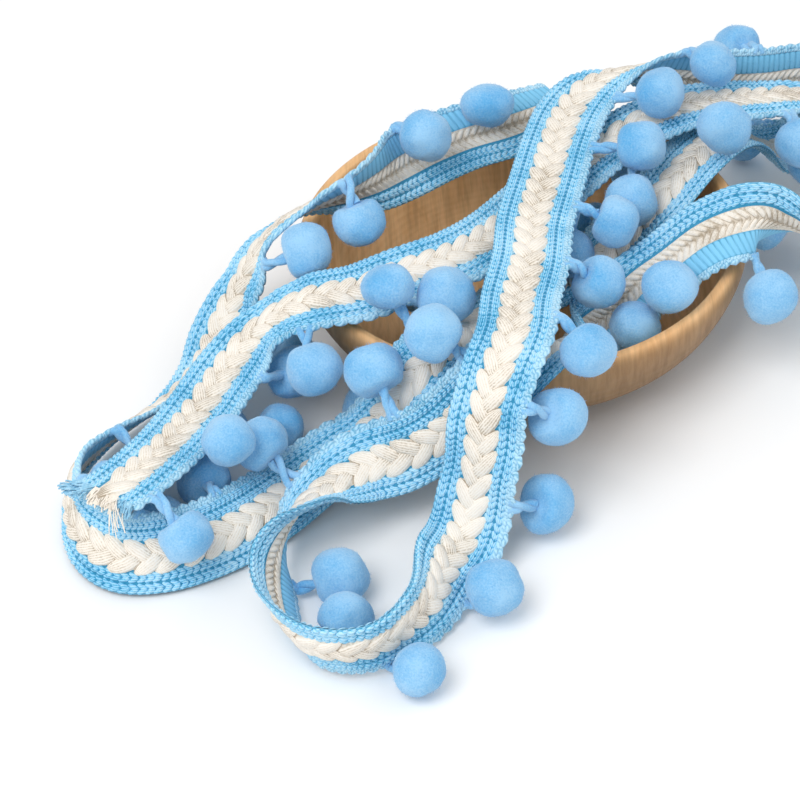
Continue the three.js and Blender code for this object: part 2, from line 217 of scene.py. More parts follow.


# The braid's ground is one woven strip, light blue with a cream middle. It lies in and over the bowl along
# one line. On its back, close ribs run across the border that carries the pompoms. The ground's colour is
# painted shade where it shows between the stitches and lobes, and in the grooves between the ribs.
# Each row of the line is a point in millimetres and the strip's roll about its line in degrees.
ROUTE = [
    # cut end over left loop
    (-90, -72, 20, 3), (-84, -65, 19.5, 3), (-77, -54, 18, 2), (-71, -42, 17, 0), (-64, -30, 19, 0),
    (-59, -26, 22.5, 0),
    # across bowl to right
    (-53, -25, 27, -3), (-46, -25, 30, -8), (-36, -23, 30, -10), (-26, -18, 30, -10), (-15, -13, 30, -10),
    (-6, -6, 30, -8), (6, 8, 30, -5), (18, 20, 31, 0), (29, 27, 33, 0), (40, 32, 33.5, 0),
    (49, 35, 32, 0), (58, 38, 30, 3), (68, 41, 27, 8),
    # wide turn at right
    (78, 37, 22, 25), (86, 28, 17, 50), (89, 17, 13, 62), (86, 6, 12, 60), (78, -2, 14, 35),
    (69, -5, 18, 0), (62, -6, 24.5, -28),
    # back up over right rim
    (55, -10, 31, -68), (50, -13, 34.5, -112), (44, -14, 34, -142), (38, -15, 32, -152),
    (31, -16, 27, -153), (24, -17, 22, -155), (18, -21, 18, -150), (11, -28, 18.5, -115),
    (6, -37, 21.5, -60), (3, -44.5, 28, -20),
    # down front of bowl
    (-2, -50.5, 31, 10), (-9, -55.5, 28.5, 32), (-16, -59, 23.5, 52), (-22, -61, 19.7, 64),
    (-29, -62, 16.5, 60), (-37, -61.5, 13.5, 32), (-45, -66, 12.5, -5), (-51, -73, 13, -45),
    # front loop
    (-55, -79, 11.5, -85), (-57, -86, 10.5, -115), (-57, -94, 10, -122), (-55, -102, 10, -115),
    (-50, -109, 10, -108), (-43, -112, 10.5, -106), (-37, -111, 10.5, -102), (-31, -106, 10.5, -90),
    (-26, -98, 9.5, -68),
    # broad run over bowl
    (-22, -87, 9, -40), (-19, -80.5, 8, -20), (-17, -76, 9.5, -10), (-15.5, -73, 14, -8),
    (-13.5, -70, 22, -3), (-12, -66.5, 30, 0), (-9, -61, 36.5, 0), (-5, -51.5, 39, 0), (-3, -39, 38, -5),
    (0, -26, 37.5, -8), (2, -12, 37, -8), (6, 4, 36.5, -6), (10, 19, 36.5, -3), (14, 30, 36.5, 0),
    (19, 37, 37, 8),
    # standing behind bowl
    (25, 41, 37, 25), (32, 43.5, 35.5, 52), (40, 45.5, 32, 78), (50, 48, 28, 88), (60, 51.5, 25, 90),
    (69, 56, 22.5, 88),
    # tight turn at right
    (77, 59.5, 18.5, 85), (84, 58.5, 14.5, 80), (87, 54, 11.5, 75), (84, 49.5, 10.5, 65),
    (77, 47, 10, 45), (69, 45, 10, 28), (61, 41, 12.5, 12),
    # back across bowl
    (54, 35.5, 20.5, 3), (47, 26.5, 27.5, -3), (39, 16, 29, -5), (32, 9, 25.5, -3), (25, 4, 21.5, 0),
    (18, -2, 18, 0), (9, -8, 17.5, 0), (-1, -17, 19.5, 0), (-10, -28, 23.5, 0), (-17, -40, 28.5, 3),
    # down to left loop
    (-24, -47, 26.5, 12), (-30, -49.5, 20.5, 14), (-36, -50, 13.5, 14), (-42, -50.5, 8, 15),
    (-50, -55, 5, 18), (-57, -62, 5, 28), (-64, -69, 6, 38), (-72, -74, 6.5, 45), (-80, -77, 7, 50),
    (-88, -77, 7.5, 55),
    # left loop
    (-94, -73, 8, 62), (-98, -66, 8.3, 70), (-99, -58, 8.4, 72), (-98, -51, 8.3, 68), (-93, -43, 8, 58),
    (-86, -35, 7.6, 45), (-78, -27, 7.6, 38), (-71, -17, 8.5, 25),
    # up over left rim
    (-67, -8, 11, 10), (-64, -4, 15, 8), (-61, -2, 20, 10), (-57, 0, 26, 18), (-52, 1, 31, 30),
    (-45, 3, 33.5, 45), (-38, 5, 34.5, 65), (-31, 10, 34, 90),
    # turned along back rim
    (-25, 17, 32.5, 120), (-18, 24, 31, 142), (-10, 29, 30.5, 150), (-1, 33, 30, 152), (6, 37, 29.5, 160),
    (14, 42, 29, 172),
]
POINTS_PER_ROW = 24
STATION_STEP = 5.4
ROUTE_STEP = 0.5
GROUND_HALF = 7.7
GROUND_FLAT_HALF = 7.3
GROUND_FRONT = 0.2
GROUND_BACK = -0.3
GROUND_EDGE = -0.05
GROUND_STEP = 0.3
CREAM_HALF = 2.6
RIB_PITCH = 1.5
RIB_RISE = 0.36
RIB_SLANT = 0.2
RIB_ROUNDNESS = 0.7
EDGE_WAVE = 0.12
# The deep, shade and gap tones are mostly painted shade, for the seams between plies, stitches and lobes and
# for the ground that shows between them.
BLUE_LIGHT = (0.50, 0.785, 0.955, 1)
BLUE_MID = (0.235, 0.60, 0.865, 1)
BLUE_DEEP = (0.03, 0.30, 0.52, 1)
BLUE_SHADE = (0.025, 0.24, 0.42, 1)
CREAM_LIGHT = (0.93, 0.885, 0.815, 1)
CREAM_SHADE = (0.84, 0.77, 0.67, 1)
CREAM_GAP_SHADE = (0.40, 0.33, 0.245, 1)

rows = np.array(ROUTE, float)
points = smooth_line(rows[:, :3], POINTS_PER_ROW)
rolls = smooth_line(rows[:, 3:], POINTS_PER_ROW, even=True)[:, 0]
along_at = np.concatenate([[0], np.cumsum(np.linalg.norm(np.diff(points, axis=0), axis=1))])
braid_length = math.floor(along_at[-1] / STATION_STEP) * STATION_STEP
even_at = np.arange(0, along_at[-1], ROUTE_STEP)
spine = np.stack([np.interp(even_at, along_at, points[:, k]) for k in range(3)], axis=1)
roll = np.radians(np.interp(even_at, along_at, rolls))[:, None]
onward = np.gradient(spine, axis=0)
onward /= np.linalg.norm(onward, axis=1, keepdims=True)
level = np.cross(onward, (0, 0, 1))
level /= np.linalg.norm(level, axis=1, keepdims=True)
across = level * np.cos(roll) + np.cross(level, onward) * np.sin(roll)
outward = np.cross(across, onward)
route = mesh_piece("route", spine * MM, [])
for name, direction in (("across", across), ("outward", outward)):
    route.data.attributes.new(name, "FLOAT_VECTOR", "POINT").data.foreach_set("vector", direction.ravel())


def sockets_of(tree, *inputs, gives=(("Geometry", "Geometry"),)):
    """Gives a node tree named inputs and outputs, and returns the sockets of both inside it."""
    for in_out, sockets in (("INPUT", inputs), ("OUTPUT", gives)):
        for name, kind in sockets:
            tree.interface.new_socket(name, in_out=in_out, socket_type="NodeSocket" + kind)
    return tree.nodes.new("NodeGroupInput").outputs, tree.nodes.new("NodeGroupOutput").inputs


# Bends what lies flat, with X along the strip, Y across it and Z out of its face, to lie along the route.
ROUTE_INPUTS = (("Route", "Object"), ("Route Step", "Float"), ("Last Station", "Float"))
ROUTE_VALUES = {"Route": route, "Route Step": ROUTE_STEP * MM, "Last Station": float(len(spine) - 2)}
bend = bpy.data.node_groups.new("bend_along_route", "GeometryNodeTree")
given, result = sockets_of(bend, ("Geometry", "Geometry"), *ROUTE_INPUTS)
stations = add(bend, "GeometryNodeObjectInfo", {"Object": given["Route"]}).outputs["Geometry"]
flat = add(bend, "ShaderNodeSeparateXYZ", {0: add(bend, "GeometryNodeInputPosition").outputs[0]}).outputs
steps = add(bend, "ShaderNodeMath", {0: flat["X"], 1: given["Route Step"]}, operation="DIVIDE").outputs[0]
whole = add(bend, "ShaderNodeMath", {0: steps}, operation="FLOOR").outputs[0]
first = add(bend, "ShaderNodeMath", {0: whole, 1: 0.0}, operation="MAXIMUM").outputs[0]
first = add(bend, "ShaderNodeMath", {0: first, 1: given["Last Station"]}, operation="MINIMUM").outputs[0]
second = add(bend, "ShaderNodeMath", {0: first, 1: 1.0}, operation="ADD").outputs[0]
between = add(bend, "ShaderNodeMath", {0: steps, 1: first}, operation="SUBTRACT").outputs[0]
bent = None
for field, reach in ((add(bend, "GeometryNodeInputPosition").outputs[0], None),
                     (add(bend, "GeometryNodeInputNamedAttribute", {"Name": "across"},
                          data_type="FLOAT_VECTOR").outputs[0], flat["Y"]),
                     (add(bend, "GeometryNodeInputNamedAttribute", {"Name": "outward"},
                          data_type="FLOAT_VECTOR").outputs[0], flat["Z"])):
    near, far = (add(bend, "GeometryNodeSampleIndex", {"Geometry": stations, "Value": field, "Index": index},
                     data_type="FLOAT_VECTOR", domain="POINT", clamp=True).outputs[0]
                 for index in (first, second))
    change = add(bend, "ShaderNodeVectorMath", {0: far, 1: near}, operation="SUBTRACT").outputs[0]
    share = add(bend, "ShaderNodeVectorMath", {0: change, "Scale": between}, operation="SCALE").outputs[0]
    here = add(bend, "ShaderNodeVectorMath", {0: near, 1: share}, operation="ADD").outputs[0]
    if reach is None:
        bent = here
    else:
        offset = add(bend, "ShaderNodeVectorMath", {0: here, "Scale": reach}, operation="SCALE").outputs[0]
        bent = add(bend, "ShaderNodeVectorMath", {0: bent, 1: offset}, operation="ADD").outputs[0]
moved = add(bend, "GeometryNodeSetPosition", {"Geometry": given["Geometry"], "Position": bent})
bend.links.new(moved.outputs[0], result[0])


def bent_on_route(tree, geometry, given):
    """The bend group placed in a tree, with the tree's own route inputs."""
    placed = add(tree, "GeometryNodeGroup", node_tree=bend)
    tree.links.new(geometry, placed.inputs["Geometry"])
    for name, _ in ROUTE_INPUTS:
        tree.links.new(given[name], placed.inputs[name])
    return placed.outputs[0]


def made_by(piece, tree, values):
    """Runs a node tree on a piece with its inputs' values, and leaves the piece with the plain mesh."""
    shaping = piece.modifiers.new(tree.name, "NODES")
    shaping.node_group = tree
    for item in tree.interface.items_tree:
        if item.in_out == "INPUT" and item.name in values:
            shaping[item.identifier] = values[item.name]
    graph = bpy.context.evaluated_depsgraph_get()
    shaped = bpy.data.meshes.new_from_object(piece.evaluated_get(graph), preserve_all_data_layers=True,
                                             depsgraph=graph)
    shaped.name = piece.name
    if piece.type == "MESH":
        piece.modifiers.clear()
        piece.data = shaped
        return piece
    name = piece.name
    bpy.data.objects.remove(piece)
    whole_piece = bpy.data.objects.new(name, shaped)
    bpy.context.collection.objects.link(whole_piece)
    return whole_piece


at = np.arange(0, braid_length + GROUND_STEP / 2, GROUND_STEP)[:, None]
back_y = np.array([-GROUND_FLAT_HALF, -3.4, 2.3, 2.6, 3.2, 5.3, 6.9, 7.4])
fullness = np.array([0, 0, 0, 0.3, 1, 1, 0.9, 0.35])
front_y = np.array([GROUND_FLAT_HALF, 3.4, -3.4, -GROUND_FLAT_HALF])
rib = np.abs(np.sin(math.pi * (at + RIB_SLANT * back_y) / RIB_PITCH)) ** RIB_ROUNDNESS
edge_y = GROUND_HALF + EDGE_WAVE * rib[:, -1:]
ones = np.ones_like(at)
ring_y = np.hstack([-GROUND_HALF * ones, back_y * ones, edge_y, front_y * ones])
ring_z = np.hstack([GROUND_EDGE * ones, GROUND_BACK - RIB_RISE * fullness * rib, GROUND_EDGE * ones,
                    GROUND_FRONT * np.ones((len(at), len(front_y)))])
ring_points = np.stack([at * np.ones_like(ring_y), ring_y, ring_z], axis=-1)
per_ring = ring_y.shape[1]
ground_faces = [list(face) for face in strip_faces(len(at), per_ring, True)[:, ::-1]]
ground_faces.append(list(range(per_ring)))
ground_faces.append(list(range((len(at) - 1) * per_ring, len(at) * per_ring))[::-1])
ground = mesh_piece("woven_ground", ring_points.reshape(-1, 3) * MM, ground_faces)
strip_place = ground.data.attributes.new("strip_place", "FLOAT_VECTOR", "POINT")
strip_place.data.foreach_set("vector", ring_points.astype(np.float32).ravel())

# Fibres: a fine mottling of the tone and a fuzzy relief, shared by every yarn and felt on the trim.
fibres = bpy.data.node_groups.new("fibres", "ShaderNodeTree")
given, result = sockets_of(fibres, ("Fineness", "Float"), ("Fuzz", "Float"),
                           gives=(("Tone", "Float"), ("Normal", "Vector")))
spot = add(fibres, "ShaderNodeTexCoord").outputs["Object"]
fine = add(fibres, "ShaderNodeTexNoise", {"Vector": spot, "Scale": given["Fineness"], "Detail": 4,
                                          "Roughness": 0.7}).outputs["Fac"]
broad = add(fibres, "ShaderNodeTexNoise", {"Vector": spot, "Scale": 110, "Detail": 2}).outputs["Fac"]
tone = add(fibres, "ShaderNodeMath", {0: fine, 1: broad}, operation="ADD").outputs[0]
spread = add(fibres, "ShaderNodeMapRange", {"Value": tone, "From Min": 0.7, "From Max": 1.3}).outputs[0]
fuzz = add(fibres, "ShaderNodeBump", {"Height": fine, "Strength": given["Fuzz"], "Distance": 0.0004})
fibres.links.new(spread, result["Tone"])
fibres.links.new(fuzz.outputs[0], result["Normal"])


def tone_ramp(tree, tone, *tones):
    """A colour along evenly spaced tones, from the darkest to the lightest, which is reached early."""
    lightest_at = 0.75
    ramp = add(tree, "ShaderNodeValToRGB", {"Fac": tone})
    marks = ramp.color_ramp.elements
    for colour in tones[1:-1]:
        marks.new(lightest_at * tones.index(colour) / (len(tones) - 1)).color = colour
    marks[0].color = tones[0]
    marks[-1].color = tones[-1]
    marks[-1].position = lightest_at
    return ramp.outputs["Color"]


weave, tree, shader = finish_of("woven_ground", Roughness=0.85, Specular_IOR_Level=0.15, Sheen_Weight=0.15)
fuzz = add(tree, "ShaderNodeGroup", {"Fineness": 1500, "Fuzz": 0.5}, node_tree=fibres)
place = add(tree, "ShaderNodeAttribute", attribute_name="strip_place").outputs["Vector"]
strip = add(tree, "ShaderNodeSeparateXYZ", {0: place}).outputs
beside = add(tree, "ShaderNodeMath", {0: strip["Y"]}, operation="ABSOLUTE").outputs[0]
in_middle = add(tree, "ShaderNodeMath", {0: beside, 1: CREAM_HALF}, operation="LESS_THAN").outputs[0]
# painted shade: the ground is dark where it shows between stitches and lobes and in the grooves between the
# ribs, lighter on the rib crests
on_rib = add(tree, "ShaderNodeMapRange", {"Value": strip["Z"], "From Min": GROUND_BACK,
                                          "From Max": GROUND_BACK - 0.75 * RIB_RISE}).outputs[0]
worn = add(tree, "ShaderNodeMath", {0: fuzz.outputs["Tone"], 1: 0.15}, operation="MULTIPLY").outputs[0]
lit = add(tree, "ShaderNodeMath", {0: on_rib, 1: 0.75, 2: worn}, operation="MULTIPLY_ADD").outputs[0]
# less painted shade at the strip's edge, where the stitches wrap round it
at_edge = add(tree, "ShaderNodeMapRange", {"Value": beside, "From Min": GROUND_FLAT_HALF,
                                           "From Max": GROUND_HALF, "To Max": 0.6}).outputs[0]
lit = add(tree, "ShaderNodeMath", {0: lit, 1: at_edge}, operation="ADD").outputs[0]
border_shade = tone_ramp(tree, lit, BLUE_SHADE, BLUE_MID)
middle_shade = tone_ramp(tree, fuzz.outputs["Tone"], CREAM_GAP_SHADE, CREAM_SHADE)
cloth_tone = add(tree, "ShaderNodeMix", data_type="RGBA")
for socket, value in ((0, in_middle), (6, border_shade), (7, middle_shade)):
    tree.links.new(value, cloth_tone.inputs[socket])
tree.links.new(cloth_tone.outputs[2], shader.inputs["Base Color"])
tree.links.new(fuzz.outputs["Normal"], shader.inputs["Normal"])

lay_flat = bpy.data.node_groups.new("strip_on_route", "GeometryNodeTree")
given, result = sockets_of(lay_flat, ("Geometry", "Geometry"), *ROUTE_INPUTS, ("Finish", "Material"))
laid = bent_on_route(lay_flat, given["Geometry"], given)
laid = add(lay_flat, "GeometryNodeRealizeInstances", {"Geometry": laid}).outputs[0]
laid = add(lay_flat, "GeometryNodeSetMaterial", {"Geometry": laid, "Material": given["Finish"]}).outputs[0]
lay_flat.links.new(laid, result[0])
ground = made_by(ground, lay_flat, {**ROUTE_VALUES, "Finish": weave})
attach(ground, "root")
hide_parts("band")


# The plait is worked in soft cream yarn down the middle of the strip. On the front, plump lobes of seven
# yarns cross the middle in turn, each from under the one before, and narrow to their tips. On the back,
# single yarns lie in flat close Vs.
LOBE_PITCH = 4.7
LOBE_YARNS = 7
LOBE_LINE = np.array([  # along, across, half width, height
    (-1.2, -1.45, 1.15, 0.20), (0.1, -0.6, 1.55, 0.85), (1.4, 0.3, 1.8, 1.18), (2.7, 1.2, 1.88, 1.30),
    (3.9, 2.02, 1.74, 1.22), (4.8, 2.64, 1.4, 1.0), (5.5, 3.12, 0.92, 0.68), (6.0, 3.46, 0.38, 0.05)])
LOBE_SIDE = np.array([-0.56, 0.828])
YARN_RISE = 0.1
YARN_STEPS = 5
YARN_CROSSING = 0.1
YARN_SEAT = 0.08
BACK_PITCH = 1.8
BACK_SHAPE = (2.5, 2.55, 0.64, 0.55)  # length, lean, half width, height


def unit_of(name, points, faces, around):
    """A small repeated shape from a grid of points, with a UV map along and around its yarns."""
    made = mesh_piece(name, points * MM, faces)
    layer = made.data.uv_layers.new(name="yarn")
    corners = np.empty(len(made.data.loops), dtype=np.int32)
    made.data.loops.foreach_get("vertex_index", corners)
    layer.data.foreach_set("uv", around[corners].astype(np.float32).ravel())
    return made


side_at = np.linspace(-1, 1, 2 * LOBE_YARNS + 1)
on_yarn = np.arange(2 * LOBE_YARNS + 1) % 2
round_at = np.sqrt(1 - side_at ** 2) + YARN_RISE * (on_yarn - 0.5)
lobe_xy = LOBE_LINE[:, None, :2] + side_at[None, :, None] * LOBE_LINE[:, None, 2:3] * LOBE_SIDE
lobe_z = LOBE_LINE[:, 3:] * round_at
lobe = np.dstack([lobe_xy, lobe_z])
lobe_uv = np.stack(np.broadcast_arrays(np.linspace(0, 1, len(LOBE_LINE))[:, None], side_at[None, :]), axis=-1)
lobe_faces = strip_faces(*lobe.shape[:2], False)
lobe_pair = np.vstack([lobe.reshape(-1, 3), lobe.reshape(-1, 3) * (1, -1, 1) + (LOBE_PITCH / 2, 0, 0)])
lobes = unit_of("lobes", lobe_pair + (0, 0, GROUND_FRONT),
                np.vstack([lobe_faces, lobe_faces[:, ::-1] + lobe_pair.shape[0] // 2]),
                np.vstack([lobe_uv.reshape(-1, 2)] * 2))


def leaning_yarn(length, lean, half, rise):
    """A short plump yarn that leans away from its row's middle: points, UVs along and across, and faces."""
    down = np.linspace(0, 1, YARN_STEPS)[:, None]
    over = np.linspace(-1, 1, YARN_STEPS)[None, :]
    slope = math.hypot(length, lean)
    wide = half * over * np.sin(math.pi * (0.12 + 0.76 * down)) ** 0.5
    x = length * down - wide * lean / slope
    y = lean * down - YARN_CROSSING + wide * length / slope
    plump = rise * np.sin(math.pi * (0.01 + 0.98 * down)) ** 0.5 * (1 - over ** 2)
    z = plump * (1.2 - 0.4 * down - 0.3 * over)  # higher at its start and towards its row's middle
    points = np.stack(np.broadcast_arrays(x, y, z), axis=-1).reshape(-1, 3)
    around = np.stack(np.broadcast_arrays(down, over), axis=-1).reshape(-1, 2)
    return points, around, strip_faces(YARN_STEPS, YARN_STEPS, False)


def leaning_rows(name, shape, middles, side, turned):
    """Pairs of yarns that lean apart, one pair for each middle across the strip, on its front or its back."""
    points, around, faces = leaning_yarn(*shape)
    parts, lists = [], []
    for middle in middles:
        for lean in (-1, 1):
            lists.append(faces[:, ::lean * side * turned] + len(points) * len(parts))
            parts.append((points * (1, lean, 1) + (0, middle, 0)) * (1, side, turned))
    seat = GROUND_FRONT - YARN_SEAT if turned > 0 else GROUND_BACK + YARN_SEAT
    return unit_of(name, np.vstack(parts) + (0, 0, seat), np.vstack(lists), np.vstack([around] * len(parts)))


back_vs = leaning_rows("back_vs", BACK_SHAPE, (0.0,), 1, -1)

# A row of like shapes along the strip, each a little larger or smaller than the next.
row_on_route = bpy.data.node_groups.new("row_on_route", "GeometryNodeTree")
given, result = sockets_of(row_on_route, ("Geometry", "Geometry"), ("Shape", "Object"), ("Pitch", "Float"),
                           ("First", "Float"), ("Count", "Int"), ("Unevenness", "Float"), ("Seed", "Int"),
                           *ROUTE_INPUTS, ("Finish", "Material"))
start = add(row_on_route, "ShaderNodeCombineXYZ", {"X": given["First"]}).outputs[0]
stride = add(row_on_route, "ShaderNodeCombineXYZ", {"X": given["Pitch"]}).outputs[0]
line = add(row_on_route, "GeometryNodeMeshLine", {"Count": given["Count"], "Start Location": start,
                                                  "Offset": stride}, mode="OFFSET").outputs[0]
shape = add(row_on_route, "GeometryNodeObjectInfo", {"Object": given["Shape"]}).outputs["Geometry"]
least = add(row_on_route, "ShaderNodeMath", {0: 1.0, 1: given["Unevenness"]}, operation="SUBTRACT").outputs[0]
most = add(row_on_route, "ShaderNodeMath", {0: 1.0, 1: given["Unevenness"]}, operation="ADD").outputs[0]
growth = add(row_on_route, "FunctionNodeRandomValue", {2: least, 3: most, "Seed": given["Seed"]},
             data_type="FLOAT").outputs[1]
scale = add(row_on_route, "ShaderNodeCombineXYZ", {"X": growth, "Y": 1.0, "Z": growth}).outputs[0]
row = add(row_on_route, "GeometryNodeInstanceOnPoints", {"Points": line, "Instance": shape,
                                                         "Scale": scale}).outputs[0]
row = add(row_on_route, "GeometryNodeRealizeInstances", {"Geometry": row}).outputs[0]
row = bent_on_route(row_on_route, row, given)
row = add(row_on_route, "GeometryNodeSetMaterial", {"Geometry": row, "Material": given["Finish"]}).outputs[0]
row_on_route.links.new(row, result[0])

# Twist: the slanting plies of a yarn, on the yarn's own map.
twist = bpy.data.node_groups.new("yarn_twist", "ShaderNodeTree")
given, result = sockets_of(twist, ("Plies", "Vector"), ("Depth", "Float"), ("Fuzz", "Vector"),
                           gives=(("Ply", "Float"), ("Normal", "Vector")))
yarn_map = add(twist, "ShaderNodeUVMap", uv_map="yarn").outputs[0]
turned = add(twist, "ShaderNodeVectorMath", {0: yarn_map, 1: given["Plies"]}, operation="MULTIPLY").outputs[0]
slant = add(twist, "ShaderNodeSeparateXYZ", {0: turned}).outputs
phase = add(twist, "ShaderNodeMath", {0: slant["X"], 1: slant["Y"]}, operation="ADD").outputs[0]
stray = add(twist, "ShaderNodeTexNoise", {"Vector": add(twist, "ShaderNodeTexCoord").outputs["Object"],
                                          "Scale": 700, "Detail": 2}).outputs["Fac"]
phase = add(twist, "ShaderNodeMath", {0: stray, 1: 5.0, 2: phase}, operation="MULTIPLY_ADD").outputs[0]
ply = add(twist, "ShaderNodeMath", {0: phase}, operation="COSINE").outputs[0]
ply = add(twist, "ShaderNodeMapRange", {"Value": ply, "From Min": -1.0}).outputs[0]
ply_bump = add(twist, "ShaderNodeBump", {"Height": ply, "Strength": given["Depth"], "Distance": 0.0003,
                                         "Normal": given["Fuzz"]})
twist.links.new(ply, result["Ply"])
twist.links.new(ply_bump.outputs[0], result["Normal"])


def yarn_finish(name, tones, plies, depth, fineness, sheen, tuck_shade=0.0, shaded_stretches=()):
    """A material of twisted yarn with fine fibres, with painted shade between its plies and where it is
    tucked under or lies in a groove. Each shaded stretch is an axis of the yarn's map, and where the painted
    shade starts and is full."""
    material, tree, shader = finish_of(name, Roughness=0.8, Specular_IOR_Level=0.12, Sheen_Weight=sheen)
    fuzz = add(tree, "ShaderNodeGroup", {"Fineness": fineness, "Fuzz": 0.35}, node_tree=fibres)
    turns = add(tree, "ShaderNodeGroup", {"Plies": plies, "Depth": depth, "Fuzz": fuzz.outputs["Normal"]},
                node_tree=twist)
    # painted shade between the plies, where the twist dips
    lit = add(tree, "ShaderNodeMath", {0: fuzz.outputs["Tone"], 1: 0.6}, operation="MULTIPLY").outputs[0]
    lit = add(tree, "ShaderNodeMath", {0: turns.outputs["Ply"], 1: 0.4, 2: lit},
              operation="MULTIPLY_ADD").outputs[0]
    yarn_map = add(tree, "ShaderNodeUVMap", uv_map="yarn").outputs[0]
    spot = add(tree, "ShaderNodeSeparateXYZ", {0: yarn_map}).outputs
    # painted shade on each stretch of the map that lies under another yarn or in a groove
    for axis, start, full in shaded_stretches:
        painted_shade = add(tree, "ShaderNodeMapRange", {"Value": spot[axis], "From Min": start, "From Max": full,
                                                  "To Max": tuck_shade}, interpolation_type="SMOOTHSTEP").outputs[0]
        lit = add(tree, "ShaderNodeMath", {0: lit, 1: painted_shade}, operation="SUBTRACT").outputs[0]
    tree.links.new(tone_ramp(tree, lit, *tones), shader.inputs["Base Color"])
    tree.links.new(turns.outputs["Normal"], shader.inputs["Normal"])
    return material


# painted shade between the lobes, along each lobe's one side and at its root, where it goes under the one
# before
cream_yarn = yarn_finish("cream_yarn", (CREAM_GAP_SHADE, CREAM_SHADE, CREAM_LIGHT), (0, LOBE_YARNS * math.pi, 0),
                         0.2, 2200, 0.2, tuck_shade=0.5, shaded_stretches=(("Y", -0.55, -1.0), ("X", 0.35, 0.05)))
for name, shape, pitch in (("plait", lobes, LOBE_PITCH), ("plait_back", back_vs, BACK_PITCH)):
    plait = made_by(mesh_piece(name, np.zeros((1, 3)), []), row_on_route, {
        **ROUTE_VALUES, "Shape": shape, "Pitch": pitch * MM, "First": 0.0, "Count": int(braid_length / pitch),
        "Unevenness": 0.06, "Seed": 3, "Finish": cream_yarn})
    bpy.data.objects.remove(shape)
    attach(plait, "root")


# The blue borders are worked in chain stitches: two columns each side of the plait, with a groove between.
# Each stitch is a pair of short plump yarns that lean apart, tucked under the next pair. The plain border
# looks the same on both faces.
STITCH_PITCH = 1.45
STITCH_COLUMNS = (4.25, 6.55)
STITCH_SHAPE = (1.8, 1.05, 0.52, 0.68)  # length, lean, half width, height

# painted shade along each yarn's outer side, towards the groove beside its column, and at its start, between
# one pair and the next
blue_yarn = yarn_finish("blue_yarn", (BLUE_DEEP, BLUE_MID, BLUE_LIGHT), (14, 5, 0), 0.35, 1700, 0.15,
                        tuck_shade=0.5, shaded_stretches=(("Y", 0.7, 1.0), ("X", 0.25, 0.05)))
for name, side, turned in (("plain_border", -1, 1), ("plain_border_back", -1, -1), ("pompom_border", 1, 1)):
    stitches = leaning_rows("stitches", STITCH_SHAPE, STITCH_COLUMNS, side, turned)
    border = made_by(mesh_piece(name, np.zeros((1, 3)), []), row_on_route, {
        **ROUTE_VALUES, "Shape": stitches, "Pitch": STITCH_PITCH * MM, "First": 0.0,
        "Count": int(braid_length / STITCH_PITCH) - 1, "Unevenness": 0.1, "Seed": 7, "Finish": blue_yarn})
    bpy.data.objects.remove(stitches)
    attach(border, "root")


# The picot edge is a row of small tight loops of soft blue yarn, worked over a running yarn and caught into
# the strip's edge on the side of the pompoms.
PICOT_PITCH = 2.7
PICOT_YARN = 0.6
PICOT_SIDES = 6
PICOT_LINE = np.array([(-1.15, 7.75, 0.0), (-0.8, 8.35, 0.05), (0, 8.65, 0.1), (0.8, 8.35, 0.05),
                       (1.15, 7.75, 0.0)])
RUNNING_LINE = np.array([(-1.4, 7.65, 0), (1.4, 7.65, 0)])


def yarn_tube(line, radius, sides):
    """Points, faces and UVs of a round yarn along a line that lies nearly flat."""
    along = np.gradient(line, axis=0)
    along /= np.linalg.norm(along, axis=1, keepdims=True)
    side = np.cross(along, (0, 0, 1))
    side /= np.linalg.norm(side, axis=1, keepdims=True)
    rise = np.cross(side, along)
    turn = np.linspace(0, 2 * math.pi, sides, endpoint=False)[None, :, None]
    around = line[:, None] + radius * (np.cos(turn) * side[:, None] + np.sin(turn) * rise[:, None])
    uv = np.stack(np.broadcast_arrays(np.linspace(0, 1, len(line))[:, None], turn[:, :, 0]), axis=-1)
    return around.reshape(-1, 3), strip_faces(len(line), sides, True), uv.reshape(-1, 2)


loop_points, loop_faces, loop_uv = yarn_tube(PICOT_LINE, PICOT_YARN, PICOT_SIDES)
run_points, run_faces, run_uv = yarn_tube(RUNNING_LINE, PICOT_YARN, PICOT_SIDES)
picot = unit_of("picot", np.vstack([loop_points, run_points]),
                np.vstack([loop_faces, run_faces + len(loop_points)]), np.vstack([loop_uv, run_uv]))
soft_yarn = yarn_finish("soft_yarn", (BLUE_DEEP, BLUE_LIGHT), (22, 2, 0), 0.35, 1500, 0.25)
picots = made_by(mesh_piece("picot_edge", np.zeros((1, 3)), []), row_on_route, {
    **ROUTE_VALUES, "Shape": picot, "Pitch": PICOT_PITCH * MM, "First": PICOT_PITCH / 2 * MM,
    "Count": int(braid_length / PICOT_PITCH), "Unevenness": 0.08, "Seed": 11, "Finish": soft_yarn})
bpy.data.objects.remove(picot)
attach(picots, "root")


# The pompoms are small balls of light blue felt, rolled by hand, so no two are alike. They have flattened
# sides and short loose fibres, and each is drawn in by its stem, which leaves a dent.
POMPOM_RADIUS = 6.0
POMPOM_ROOT = 9.29
POMPOM_STEPS = 4
POMPOMS_PER_STRIP = 3
POMPOM_SQUARENESS = 2.25
POLE_REACH = 16
POLE_SPAN = 3
BALL_SLACK = 0.06
LEAST_STRETCH = (0.80, 0.82, 0.86)
MOST_STRETCH = (0.94, 0.98, 1.02)
LUMPS_PER_METRE = 95.0
DENT_FROM = -0.72
FULL_TURN = 6.28
FLOOR_GAP = 0.1
FIBRE_FLOOR_GAP = 1.0
FIBRE_RADIUS = 0.03
FIBRE_LEAN = 1.1
FELT_LIGHT = (0.33, 0.61, 0.875, 1)
FELT_DEEP = (0.11, 0.415, 0.755, 1)


def route_at(distance, beside=0.0, out=0.0):
    """The point on the route at a distance along it, across it and out of its face, in millimetres."""
    return np.array([np.interp(distance, even_at, (spine + beside * across + out * outward)[:, k])
                     for k in range(3)])


